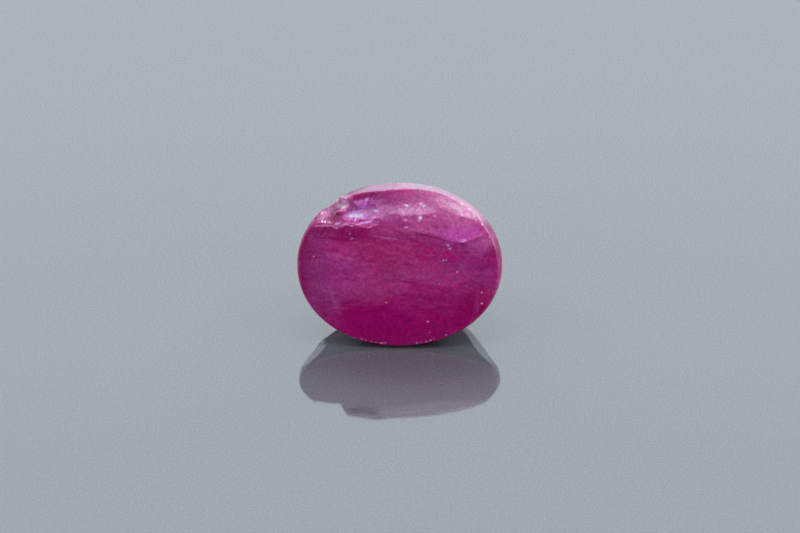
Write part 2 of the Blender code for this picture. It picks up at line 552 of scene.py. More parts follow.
class RaggedPatch(Effect):
    """An oval patch with a soft, ragged edge, somewhere in the stone."""

    title = "ragged patch"
    takes = {
        "Place": "Vector",
        "Wander": "Vector",
        "Middle": "Vector",
        "Size": "Vector",
        "Turn": "Float",
        "Soft": "Float",
        "Ragged": "Float",
    }
    gives = {"Mask": "Float"}

    @staticmethod
    def wire(sheet: Sheet, entry: bpy.types.NodeOutputs) -> dict[str, Socket]:
        """Measures how far a place is from the middle, in the patch's own lengths, with noise added.

        Args:
            sheet: the group's nodes.
            entry: the group's inputs.

        Returns:
            What comes out, by name.
        """
        offset = sheet.scaled(entry["Wander"], entry["Ragged"])
        local = sheet.vector("SUBTRACT", sheet.vector("ADD", entry["Place"], offset), entry["Middle"])
        turned = sheet.add("ShaderNodeVectorRotate", rotation_type="Z_AXIS")
        sheet.put(turned.inputs["Vector"], local)
        sheet.put(turned.inputs["Angle"], sheet.math("MULTIPLY", entry["Turn"], -1.0))
        length = sheet.length(sheet.vector("DIVIDE", turned.outputs[0], entry["Size"]))
        inner = sheet.math("SUBTRACT", 1.0, entry["Soft"])
        outer = sheet.math("ADD", 1.0, entry["Soft"])
        return {"Mask": sheet.ramp(length, inner, outer, 1.0, 0.0)}


class LayeredGrowth(Effect):
    """The thin layers in which the crystal grew, seen edge on as level bands, its clouds and its grain."""

    title = "layered growth"
    takes = {"Place": "Vector"}
    gives = {"Bands": "Float", "Streaks": "Float", "Wisps": "Float", "Clouds": "Float", "Grain": "Float"}
    lean = math.radians(6.0)
    band_stretch = (0.24, 1.0, 0.5)
    streak_stretch = (0.85, 2.3, 1.4)
    wisp_stretch = (0.70, 2.6, 1.6)
    wisp_shift = (7.0, 3.0, 5.0)

    @classmethod
    def wire(cls, sheet: Sheet, entry: bpy.types.NodeOutputs) -> dict[str, Socket]:
        """Stretches noise along the layers at three scales, and adds even clouds and an even grain.

        Args:
            sheet: the group's nodes.
            entry: the group's inputs.

        Returns:
            What comes out, by name.
        """
        layers = sheet.add("ShaderNodeVectorRotate", rotation_type="Z_AXIS")
        sheet.put(layers.inputs["Vector"], entry["Place"])
        sheet.put(layers.inputs["Angle"], cls.lean)
        place = layers.outputs[0]
        band = sheet.vector("MULTIPLY", place, cls.band_stretch)
        streak = sheet.vector("MULTIPLY", place, cls.streak_stretch)
        wisp = sheet.vector("MULTIPLY", sheet.vector("ADD", place, cls.wisp_shift), cls.wisp_stretch)
        return {
            "Bands": sheet.ramp(sheet.noise(band, 1.1, 6.0, 0.8).outputs["Fac"], 0.38, 0.62),
            "Streaks": sheet.ramp(sheet.noise(streak, 1.3, 8.0, 1.1).outputs["Fac"], 0.44, 0.62),
            "Wisps": sheet.ramp(sheet.noise(wisp, 1.0, 8.0, 1.6).outputs["Fac"], 0.54, 0.68),
            "Clouds": sheet.ramp(sheet.noise(place, 0.9, 9.0, 0.8).outputs["Fac"], 0.42, 0.60),
            "Grain": sheet.noise(place, 7.0, 7.0).outputs["Fac"],
        }


class FineWear(Effect):
    """A hand polish's fine strokes, a few specks, pale worn edges and a ground rim's patchy frost."""

    title = "fine wear"
    takes = {"Place": "Vector", "Edge": "Float"}
    gives = {"Height": "Float", "Specks": "Float", "Worn": "Float", "Ground": "Float"}
    stroke_stretch = (2.2, 9.0, 5.0)

    @classmethod
    def wire(cls, sheet: Sheet, entry: bpy.types.NodeOutputs) -> dict[str, Socket]:
        """Draws fine strokes with stretched noise, specks with small cells, and wear along the edges.

        Args:
            sheet: the group's nodes.
            entry: the group's inputs.

        Returns:
            What comes out, by name.
        """
        place = entry["Place"]
        strokes = sheet.vector("MULTIPLY", place, cls.stroke_stretch)
        strokes = sheet.noise(strokes, 1.6, 3.0, 0.6).outputs["Fac"]
        ripple = sheet.noise(place, 11.0, 3.0).outputs["Fac"]
        uneven = sheet.ramp(sheet.noise(place, 1.7, 4.0).outputs["Fac"], 0.34, 0.66, 0.10, 1.0)
        line = sheet.math("POWER", entry["Edge"], 1.6)
        return {
            "Height": sheet.math("ADD", strokes, ripple),
            "Specks": sheet.dots(place, 2.1, 0.06, 0.07),
            "Worn": sheet.math("MULTIPLY", line, uneven),
            "Ground": sheet.ramp(sheet.noise(place, 2.2, 6.0, 0.5).outputs["Fac"], 0.36, 0.62, 0.74, 1.0),
        }


@dataclass(frozen=True)
class Tint:
    """The colours inside the stone, as the share of light that comes back. White and lilac also paint
    glints and highlights into the colour, and glow and deep a painted glow.
    """

    plum: Colour = (0.33, 0.008, 0.13)
    crimson: Colour = (0.51, 0.006, 0.185)
    mauve: Colour = (0.40, 0.032, 0.23)
    rose: Colour = (0.60, 0.095, 0.32)
    deep: Colour = (0.38, 0.001, 0.14)
    brick: Colour = (0.47, 0.030, 0.17)
    dark: Colour = (0.24, 0.004, 0.10)
    dusk: Colour = (0.30, 0.030, 0.18)
    garnet: Colour = (0.35, 0.001, 0.12)
    orchid: Colour = (0.62, 0.12, 0.42)
    frost: Colour = (0.44, 0.36, 0.42)
    glow: Colour = (0.72, 0.10, 0.62)
    lilac: Colour = (0.82, 0.38, 0.86)
    veil: Colour = (0.84, 0.36, 0.66)
    white: Colour = (0.99, 0.78, 0.90)


@dataclass(frozen=True)
class Mark:
    """A patch of another colour in the stone, in the stone's frame, in millimetres.

    Args:
        middle: its middle.
        size: its half lengths.
        colour: the colour that it turns the stone to.
        share: how much of that colour it adds at its middle.
        turn: how far its length is turned from X, in degrees.
        soft: how soft its edge is, as a share of its size.
        ragged: how far its edge wanders.
    """

    middle: Point
    size: Point
    colour: Colour
    share: float
    turn: float = 0.0
    soft: float = 0.5
    ragged: float = 0.3


TINT = Tint()

ZONES = (
    Mark((-0.6, 0.8, 0.2), (2.4, 0.75, 1.8), TINT.brick, 0.70, soft=0.7, ragged=1.1),
    Mark((0.3, -0.35, 0.2), (3.2, 0.55, 1.6), TINT.rose, 0.30, soft=0.7, ragged=0.9),
    Mark((-3.4, -0.6, 0.2), (1.7, 0.8, 1.5), TINT.mauve, 0.75, soft=0.7, ragged=0.8),
    Mark((3.9, 0.1, 0.2), (0.9, 0.9, 1.5), TINT.mauve, 0.55, soft=0.7, ragged=0.7),
    Mark((-4.2, 1.45, 0.2), (0.45, 0.32, 1.2), TINT.dark, 0.45, soft=0.7),
    Mark((-2.6, 1.60, 0.2), (2.1, 0.44, 1.2), TINT.dark, 0.50, soft=0.6, ragged=0.5),
    Mark((1.2, 1.05, 0.2), (2.6, 0.28, 1.0), TINT.dark, 0.30, turn=-8.0, soft=0.7, ragged=0.4),
    Mark((-4.4, 0.3, 0.2), (0.95, 1.20, 1.8), TINT.dusk, 0.80, soft=0.7, ragged=0.6),
    Mark((-3.9, -2.0, 0.0), (1.20, 0.85, 1.8), TINT.dusk, 0.85, turn=-45.0, soft=0.7, ragged=0.6),
    Mark((0.0, 2.9, 0.4), (2.2, 0.75, 0.9), TINT.orchid, 0.55, soft=0.6, ragged=0.5),
    Mark((-1.0, 2.9, 0.4), (0.9, 0.6, 0.8), TINT.mauve, 0.55, soft=0.6),
    Mark((0.2, 3.35, 0.4), (1.8, 0.32, 0.8), TINT.dusk, 0.55, soft=0.7),
    # This orchid mark carries the flake's painted sheen a little further down.
    Mark((3.85, 0.95, 0.2), (0.80, 0.34, 1.0), TINT.orchid, 0.50, turn=5.0, soft=0.6),
    Mark((-0.6, 1.70, 0.4), (0.65, 0.35, 0.8), TINT.rose, 0.35, turn=-5.0, soft=0.7, ragged=0.4),
    Mark((-3.0, 0.20, 0.3), (0.85, 0.35, 0.8), TINT.orchid, 0.22, turn=-10.0, soft=0.7, ragged=0.4),
)

VEILS = (
    Mark((0.55, 2.63, 0.5), (1.05, 0.17, 0.6), TINT.veil, 0.62, soft=0.45, ragged=0.40),
    Mark((0.55, 2.80, 0.5), (1.2, 0.22, 0.6), TINT.veil, 0.35, soft=0.6, ragged=0.35),
    Mark((2.65, 2.92, 0.4), (1.35, 0.36, 0.8), TINT.veil, 0.50, turn=-24.0, soft=0.20, ragged=0.18),
    Mark((2.90, 2.78, 0.4), (0.95, 0.22, 0.8), TINT.white, 0.32, turn=-27.0, ragged=0.25),
    Mark((3.30, 2.52, 0.4), (0.80, 0.20, 0.8), TINT.veil, 0.50, turn=-24.0, soft=0.35, ragged=0.18),
    Mark((2.45, 3.02, 0.4), (0.90, 0.05, 0.8), TINT.white, 0.15, turn=-27.0, soft=0.6, ragged=0.12),
    Mark((2.90, 2.70, 0.4), (0.70, 0.04, 0.8), TINT.white, 0.45, turn=-30.0, soft=0.6, ragged=0.12),
    Mark((-0.65, 1.36, 0.5), (0.50, 0.035, 0.6), TINT.veil, 0.30, turn=-7.0, soft=0.6, ragged=0.12),
    Mark((1.50, 2.90, 0.5), (0.32, 0.30, 0.6), TINT.veil, 0.24, soft=0.7),
    Mark((-1.0, 2.66, 0.4), (0.50, 0.42, 0.6), TINT.veil, 0.34, soft=0.7),
    Mark((0.9, 3.30, 0.5), (0.60, 0.24, 0.6), TINT.veil, 0.22, soft=0.7),
    Mark((2.7, 2.30, 0.4), (0.80, 0.30, 0.6), TINT.veil, 0.20, turn=-20.0, soft=0.7),
    Mark((4.25, 1.30, 0.3), (0.30, 0.28, 0.6), TINT.veil, 0.25, soft=0.7),
    Mark((0.75, 1.72, 0.5), (0.60, 0.10, 0.6), TINT.veil, 0.22, turn=-6.0, soft=0.6, ragged=0.25),
    Mark((-2.9, 0.45, 0.5), (0.8, 0.10, 0.6), TINT.veil, 0.10, turn=-14.0, soft=0.7),
    Mark((0.62, -0.83, 0.5), (0.66, 0.028, 0.6), TINT.dark, 0.75, turn=-10.0, soft=0.6, ragged=0.12),
    Mark((-2.9, 1.28, 0.4), (1.1, 0.05, 0.6), TINT.dark, 0.40, turn=-3.0, soft=0.6, ragged=0.25),
    Mark((1.55, 1.40, 0.4), (1.15, 0.055, 0.6), TINT.dark, 0.70, turn=-15.0, soft=0.6, ragged=0.12),
    Mark((1.60, 1.28, 0.4), (1.40, 0.200, 0.6), TINT.dark, 0.35, turn=-12.0, soft=0.7, ragged=0.25),
    Mark((-3.7, 0.02, 0.4), (0.9, 0.04, 0.6), TINT.dark, 0.35, turn=-8.0, soft=0.6, ragged=0.25),
    Mark((1.9, -1.55, 0.4), (1.2, 0.04, 0.6), TINT.dark, 0.35, turn=4.0, soft=0.6),
    Mark((-3.15, -1.85, 0.3), (0.45, 0.14, 0.8), TINT.veil, 0.08, turn=-65.0, soft=0.7),
)

CHIP_GROUND = (
    Mark((-2.10, 3.62, 0.15), (1.00, 0.28, 0.6), TINT.dark, 0.85, turn=20.0, ragged=0.15),
    Mark((-2.05, 2.62, 0.3), (1.00, 0.62, 0.9), TINT.orchid, 0.70),
    Mark((-3.62, 2.50, 0.2), (0.62, 0.55, 0.9), TINT.frost, 0.20, turn=-40.0),
    Mark((-2.80, 3.12, 0.2), (0.48, 0.30, 0.8), TINT.frost, 0.42, turn=40.0, ragged=0.2),
    # Painted light: this white mark lifts the shade that falls on the upper side of the break, over its
    # frost.
    Mark((-2.82, 3.00, 0.1), (0.36, 0.30, 0.6), TINT.white, 0.50, turn=35.0, ragged=0.25),
    Mark((-3.35, 2.70, 0.1), (0.42, 0.18, 0.6), TINT.veil, 0.45, turn=38.0, ragged=0.25),
    Mark((-1.30, 3.80, 0.15), (1.20, 0.24, 0.6), TINT.dusk, 0.75, turn=12.0, soft=0.6, ragged=0.15),
    Mark((-3.62, 2.06, 0.2), (0.55, 0.22, 0.6), TINT.plum, 0.60, soft=0.6, ragged=0.20),
    Mark((-2.45, 2.08, 0.2), (0.34, 0.14, 0.6), TINT.plum, 0.55, soft=0.6, ragged=0.15),
    Mark((-1.25, 2.10, 0.2), (0.38, 0.20, 0.6), TINT.mauve, 0.60, soft=0.6, ragged=0.20),
    Mark((-1.20, 2.52, 0.3), (0.38, 0.20, 0.6), TINT.veil, 0.40, soft=0.6, ragged=0.20),
    Mark((-4.68, 1.35, 0.1), (0.20, 0.95, 0.5), TINT.dark, 0.60, turn=-19.0, soft=0.6, ragged=0.15),
    Mark((1.10, 3.78, 0.2), (0.65, 0.20, 0.5), TINT.frost, 0.45, turn=-8.0, soft=0.6, ragged=0.15),
    Mark((2.10, 3.36, 0.2), (0.75, 0.20, 0.6), TINT.mauve, 0.40, turn=-22.0, soft=0.7, ragged=0.20),
)

# In the break, the white, lilac and glow marks are painted highlights and sheen on its facets, and the plum
# and dark marks around (-3.12, 2.36) are painted shade in its pit.
CHIP_MARKS = (
    Mark((-2.80, 2.98, 0.2), (0.08, 0.18, 0.6), TINT.veil, 0.55, turn=-10.0, ragged=0.10),
    Mark((-3.12, 2.34, 0.2), (0.36, 0.36, 0.6), TINT.plum, 1.0, soft=0.40, ragged=0.15),
    Mark((-3.12, 2.38, 0.2), (0.20, 0.16, 0.6), TINT.dark, 0.9, ragged=0.12),
    Mark((-3.05, 2.66, 0.2), (0.26, 0.08, 0.6), TINT.dark, 0.50, turn=25.0, ragged=0.12),
    Mark((-2.72, 2.16, 0.2), (0.16, 0.07, 0.6), TINT.dark, 0.75, ragged=0.10),
    Mark((-1.85, 2.88, 0.3), (0.42, 0.26, 0.6), TINT.glow, 0.45, turn=8.0, soft=0.6),
    Mark((-1.95, 2.86, 0.3), (0.20, 0.07, 0.6), TINT.lilac, 0.75, turn=-10.0, ragged=0.12),
    Mark((-1.72, 2.80, 0.3), (0.05, 0.20, 0.6), TINT.lilac, 0.65, turn=-20.0, ragged=0.10),
    Mark((-1.58, 3.26, 0.3), (0.05, 0.17, 0.6), TINT.lilac, 0.85, turn=-25.0, ragged=0.10),
    Mark((-1.98, 3.12, 0.3), (0.24, 0.05, 0.6), TINT.lilac, 0.50, turn=5.0, ragged=0.10),
    Mark((-2.32, 2.98, 0.3), (0.15, 0.17, 0.6), TINT.dark, 0.45, turn=25.0, soft=0.6, ragged=0.15),
    Mark((-2.30, 2.70, 0.3), (0.22, 0.07, 0.6), TINT.dark, 0.50, turn=15.0, soft=0.6, ragged=0.12),
    Mark((-1.75, 3.36, 0.4), (0.66, 0.10, 0.6), TINT.dark, 0.85, turn=14.0, ragged=0.10),
    Mark((-2.04, 2.47, 0.2), (0.56, 0.18, 0.6), TINT.lilac, 0.95, turn=5.0, ragged=0.18),
    Mark((-2.15, 2.40, 0.2), (0.34, 0.090, 0.6), TINT.white, 1.0, turn=8.0, soft=0.4, ragged=0.08),
    Mark((-1.93, 2.45, 0.2), (0.14, 0.075, 0.6), TINT.white, 1.0, soft=0.4, ragged=0.06),
    Mark((-2.15, 2.24, 0.2), (0.04, 0.09, 0.6), TINT.white, 0.55, turn=-15.0, ragged=0.06),
    Mark((-1.45, 2.66, 0.3), (0.36, 0.040, 0.6), TINT.veil, 0.90, turn=3.0, soft=0.6, ragged=0.06),
    Mark((-1.16, 2.67, 0.3), (0.10, 0.055, 0.6), TINT.white, 0.75, turn=15.0, soft=0.6, ragged=0.06),
    Mark((-1.50, 2.50, 0.3), (0.38, 0.035, 0.6), TINT.veil, 0.75, turn=-10.0, soft=0.6, ragged=0.06),
    Mark((-1.42, 2.32, 0.3), (0.34, 0.050, 0.6), TINT.veil, 0.35, turn=12.0, soft=0.6, ragged=0.08),
    Mark((-1.84, 2.18, 0.2), (0.18, 0.045, 0.6), TINT.dark, 0.75, turn=8.0, soft=0.6, ragged=0.06),
    Mark((-1.82, 2.05, 0.2), (0.46, 0.040, 0.6), TINT.lilac, 0.80, turn=13.0, ragged=0.05),
    Mark((-2.48, 1.97, 0.2), (0.24, 0.035, 0.6), TINT.lilac, 0.65, turn=-10.0, soft=0.6, ragged=0.06),
    Mark((-2.32, 1.93, 0.2), (0.09, 0.050, 0.6), TINT.veil, 1.0, turn=20.0, ragged=0.05),
    Mark((-3.06, 2.01, 0.2), (0.16, 0.045, 0.6), TINT.lilac, 0.75, turn=22.0, ragged=0.05),
    Mark((-3.15, 1.72, 0.3), (1.25, 0.14, 0.6), TINT.dark, 0.65, turn=2.0, soft=0.7, ragged=0.25),
    Mark((-3.62, 1.91, 0.1), (0.62, 0.07, 0.6), TINT.dark, 0.80, turn=-3.0, soft=0.6, ragged=0.06),
)

FRAYS = (
    # The lilac fray over the break's pit is a painted sheen, broken into streaks; the other frays are
    # feathers in the stone.
    Mark((-1.95, 2.72, 0.3), (0.90, 0.50, 0.8), TINT.lilac, 0.60, soft=0.6),
    Mark((-2.00, 2.36, 0.2), (0.85, 0.22, 0.8), TINT.veil, 0.50, soft=0.6),
    Mark((-3.70, 2.50, 0.2), (0.42, 0.45, 0.8), TINT.veil, 0.45),
    Mark((-2.85, 3.15, 0.2), (0.45, 0.35, 0.8), TINT.veil, 0.60),
    Mark((2.80, 2.82, 0.4), (1.20, 0.32, 0.8), TINT.white, 0.32, turn=-25.0),
    Mark((0.60, 2.66, 0.5), (1.10, 0.24, 0.8), TINT.white, 0.25, soft=0.6),
)

# Painted glints: small white and pale spots that stand in for light caught by the beads on the break's rim
# and by small inclusions.
GLINTS = (
    Mark((-3.06, 3.08, 0.1), (0.13, 0.09, 0.5), TINT.white, 1.0, turn=30.0, ragged=0.12),
    Mark((-3.10, 2.93, 0.1), (0.05, 0.05, 0.5), TINT.white, 0.9, ragged=0.06),
    Mark((-3.45, 2.80, 0.1), (0.05, 0.07, 0.5), TINT.white, 0.7, ragged=0.06),
    Mark((-3.66, 2.60, 0.1), (0.09, 0.05, 0.5), TINT.white, 0.9, turn=-25.0, ragged=0.08),
    Mark((-3.78, 2.50, 0.1), (0.06, 0.06, 0.5), TINT.white, 0.9, ragged=0.06),
    Mark((-3.80, 2.27, 0.1), (0.10, 0.12, 0.5), TINT.veil, 0.45, ragged=0.15),
    Mark((-3.78, 2.12, 0.1), (0.05, 0.04, 0.5), TINT.white, 0.75, ragged=0.06),
    Mark((-3.63, 2.10, 0.1), (0.045, 0.04, 0.5), TINT.white, 0.75, ragged=0.05),
    Mark((-3.42, 2.08, 0.1), (0.06, 0.035, 0.5), TINT.white, 0.75, turn=-20.0, ragged=0.06),
    Mark((0.33, 2.93, 0.5), (0.10, 0.055, 0.4), TINT.white, 0.95, turn=-10.0, ragged=0.08),
    Mark((1.03, 2.98, 0.5), (0.07, 0.07, 0.4), TINT.white, 0.85, ragged=0.08),
    Mark((1.20, 2.90, 0.5), (0.10, 0.05, 0.4), TINT.white, 0.85, turn=25.0, ragged=0.08),
    Mark((1.42, 2.70, 0.5), (0.22, 0.03, 0.4), TINT.veil, 0.80, turn=-50.0, ragged=0.05),
    Mark((1.00, 2.33, 0.5), (0.07, 0.08, 0.4), TINT.white, 1.0, ragged=0.05),
    Mark((0.94, 2.19, 0.5), (0.08, 0.05, 0.4), TINT.lilac, 0.9, ragged=0.05),
    Mark((0.28, 2.22, 0.5), (0.07, 0.05, 0.4), TINT.veil, 0.9, ragged=0.05),
    Mark((0.31, 1.86, 0.5), (0.11, 0.045, 0.4), TINT.veil, 0.8, ragged=0.05),
    Mark((1.70, 2.42, 0.5), (0.08, 0.06, 0.4), TINT.veil, 0.6, ragged=0.06),
    Mark((3.36, 2.72, 0.2), (0.08, 0.05, 0.4), TINT.white, 1.0, turn=-40.0, ragged=0.05),
    Mark((3.02, 3.00, 0.2), (0.07, 0.05, 0.4), TINT.white, 0.9, turn=-40.0, ragged=0.05),
    Mark((3.62, 2.42, 0.2), (0.08, 0.05, 0.4), TINT.white, 0.9, turn=-50.0, ragged=0.05),
    Mark((4.02, 1.98, 0.2), (0.07, 0.04, 0.4), TINT.white, 0.8, turn=-50.0, ragged=0.05),
    Mark((3.05, 2.45, 0.4), (0.09, 0.035, 0.4), TINT.white, 0.7, turn=-25.0, ragged=0.05),
    Mark((2.36, 0.98, 0.5), (0.05, 0.045, 0.4), TINT.veil, 0.9, ragged=0.05),
    Mark((2.40, 0.84, 0.5), (0.06, 0.035, 0.4), TINT.veil, 0.5, ragged=0.06),
    Mark((2.11, 0.27, 0.5), (0.05, 0.04, 0.4), TINT.veil, 0.6, ragged=0.05),
    Mark((2.26, 0.28, 0.5), (0.05, 0.04, 0.4), TINT.veil, 0.6, ragged=0.05),
    Mark((2.80, -0.32, 0.5), (0.045, 0.04, 0.4), TINT.veil, 0.9, ragged=0.04),
    Mark((4.01, -1.34, 0.3), (0.05, 0.04, 0.4), TINT.veil, 0.8, ragged=0.04),
    Mark((4.01, -1.88, 0.3), (0.05, 0.04, 0.4), TINT.veil, 0.8, ragged=0.04),
    Mark((1.38, -2.76, 0.4), (0.05, 0.035, 0.4), TINT.veil, 0.8, ragged=0.04),
    Mark((-0.67, -1.83, 0.4), (0.04, 0.035, 0.4), TINT.veil, 0.5, ragged=0.04),
    Mark((-4.18, 0.41, 0.3), (0.045, 0.035, 0.4), TINT.veil, 0.9, ragged=0.04),
    Mark((-2.42, 1.55, 0.4), (0.05, 0.03, 0.4), TINT.veil, 0.6, ragged=0.04),
    Mark((-2.33, 1.32, 0.4), (0.045, 0.04, 0.4), TINT.veil, 0.7, ragged=0.04),
)

# Sparkling inclusions whose sparkle is painted in as white and pale dots, in patches: painted glints.
GLINT_CLUSTERS = (
    Mark((2.36, 0.90, 0.5), (0.22, 0.20, 0.5), TINT.white, 0.75, ragged=0.2),
    Mark((2.18, 0.26, 0.5), (0.20, 0.12, 0.5), TINT.veil, 0.8, ragged=0.2),
    Mark((1.12, 2.93, 0.5), (0.24, 0.16, 0.5), TINT.white, 0.8, ragged=0.2),
    Mark((0.40, 2.80, 0.5), (0.80, 0.25, 0.5), TINT.white, 0.75, soft=0.6),
    Mark((1.55, 3.10, 0.5), (0.35, 0.30, 0.5), TINT.veil, 0.45, soft=0.6),
    Mark((2.90, 2.72, 0.4), (1.00, 0.28, 0.5), TINT.white, 0.65, turn=-27.0, soft=0.6),
    Mark((-3.55, 2.50, 0.1), (0.45, 0.75, 0.8), TINT.white, 0.60, turn=-40.0),
    Mark((-2.0, 2.55, 0.2), (0.75, 0.50, 0.8), TINT.white, 0.55, soft=0.6),
    Mark((-2.40, 1.48, 0.5), (0.20, 0.22, 0.5), TINT.veil, 0.55, ragged=0.2),
    Mark((1.45, 0.68, 0.5), (0.20, 0.12, 0.5), TINT.veil, 0.35, ragged=0.2),
    Mark((4.3, 1.25, 0.3), (0.25, 0.40, 0.5), TINT.veil, 0.5, ragged=0.2),
    Mark((-3.0, -1.9, -1.2), (0.9, 0.6, 0.8), TINT.white, 0.7, turn=40.0, soft=0.6),
)

# Tints low on the face; the deep marks at the bottom paint the saturated glow of light that passes through
# the stone from above and behind.
LOW_TINTS_AND_GLOW = (
    Mark((0.2, -3.6, 0.0), (4.4, 1.9, 2.4), TINT.deep, 0.88, soft=0.6, ragged=0.7),
    Mark((-1.1, -2.85, 0.0), (1.85, 0.90, 2.0), TINT.deep, 0.85, turn=-6.0, soft=0.20, ragged=0.35),
    Mark((-4.95, -0.6, 0.0), (0.55, 2.8, 2.4), TINT.dark, 0.60, soft=0.7),
    Mark((3.7, -2.4, 0.0), (1.15, 1.1, 1.8), TINT.garnet, 0.90, turn=40.0, soft=0.6, ragged=0.6),
    Mark((4.25, -1.45, 0.0), (0.50, 0.40, 1.2), TINT.brick, 0.45, soft=0.7),
    Mark((3.75, -2.05, 0.0), (0.13, 0.55, 1.6), TINT.mauve, 0.60, turn=-8.0, soft=0.8, ragged=0.45),
    Mark((4.45, -0.6, 0.0), (0.30, 0.60, 1.2), TINT.mauve, 0.75, turn=-12.0, soft=0.6, ragged=0.25),
    Mark((-1.4, -1.15, 0.2), (1.0, 0.62, 1.2), TINT.rose, 0.30, turn=-8.0, soft=0.7, ragged=0.6),
    Mark((-3.3, -1.15, 0.2), (0.95, 0.42, 1.2), TINT.orchid, 0.22, turn=-8.0, soft=0.7, ragged=0.5),
)

# Over the flake: its rose tint paints the sheen of the light that the flake catches, and the glow and lilac
# marks low on its right are a painted glow.
FLAKE_MARKS = (
    Mark((2.50, 2.75, 0.3), (3.8, 1.50, 2.0), TINT.rose, 0.75, turn=-17.0, soft=0.10, ragged=0.25),
    Mark((3.2, 1.35, 0.3), (1.3, 0.55, 0.8), TINT.glow, 0.45, soft=0.7),
    Mark((3.13, 1.20, 0.3), (0.16, 0.08, 0.6), TINT.lilac, 0.75, soft=0.7, ragged=0.06),
    Mark((3.19, 1.80, 0.3), (0.035, 0.60, 0.6), TINT.veil, 0.10, soft=0.6, ragged=0.04),
)

BACK_ZONES = (
    Mark((1.2, 0.6, -3.2), (2.6, 0.9, 0.9), TINT.crimson, 0.6, turn=20.0, soft=0.7, ragged=0.9),
    Mark((-2.2, 1.4, -2.2), (1.6, 0.7, 0.9), TINT.mauve, 0.7, turn=-15.0, soft=0.7, ragged=0.8),
)

BACK_VEILS = (
    Mark((2.6, -1.2, -2.0), (1.3, 0.25, 0.9), TINT.veil, 0.45, turn=-35.0, soft=0.4),
    Mark((0.4, 2.5, -1.6), (1.5, 0.12, 0.7), TINT.veil, 0.5, turn=6.0),
    Mark((-1.0, -0.3, -3.9), (0.9, 0.1, 0.6), TINT.veil, 0.5, turn=30.0),
    Mark((-2.9, -1.9, -1.2), (1.1, 0.7, 0.9), TINT.orchid, 0.8, turn=40.0, ragged=0.5),
    Mark((-3.1, -1.8, -1.1), (0.5, 0.12, 0.7), TINT.white, 0.7, turn=40.0, ragged=0.25),
    Mark((3.5, 1.3, -1.0), (0.8, 0.3, 0.8), TINT.rose, 0.6, turn=50.0, soft=0.6, ragged=0.4),
)


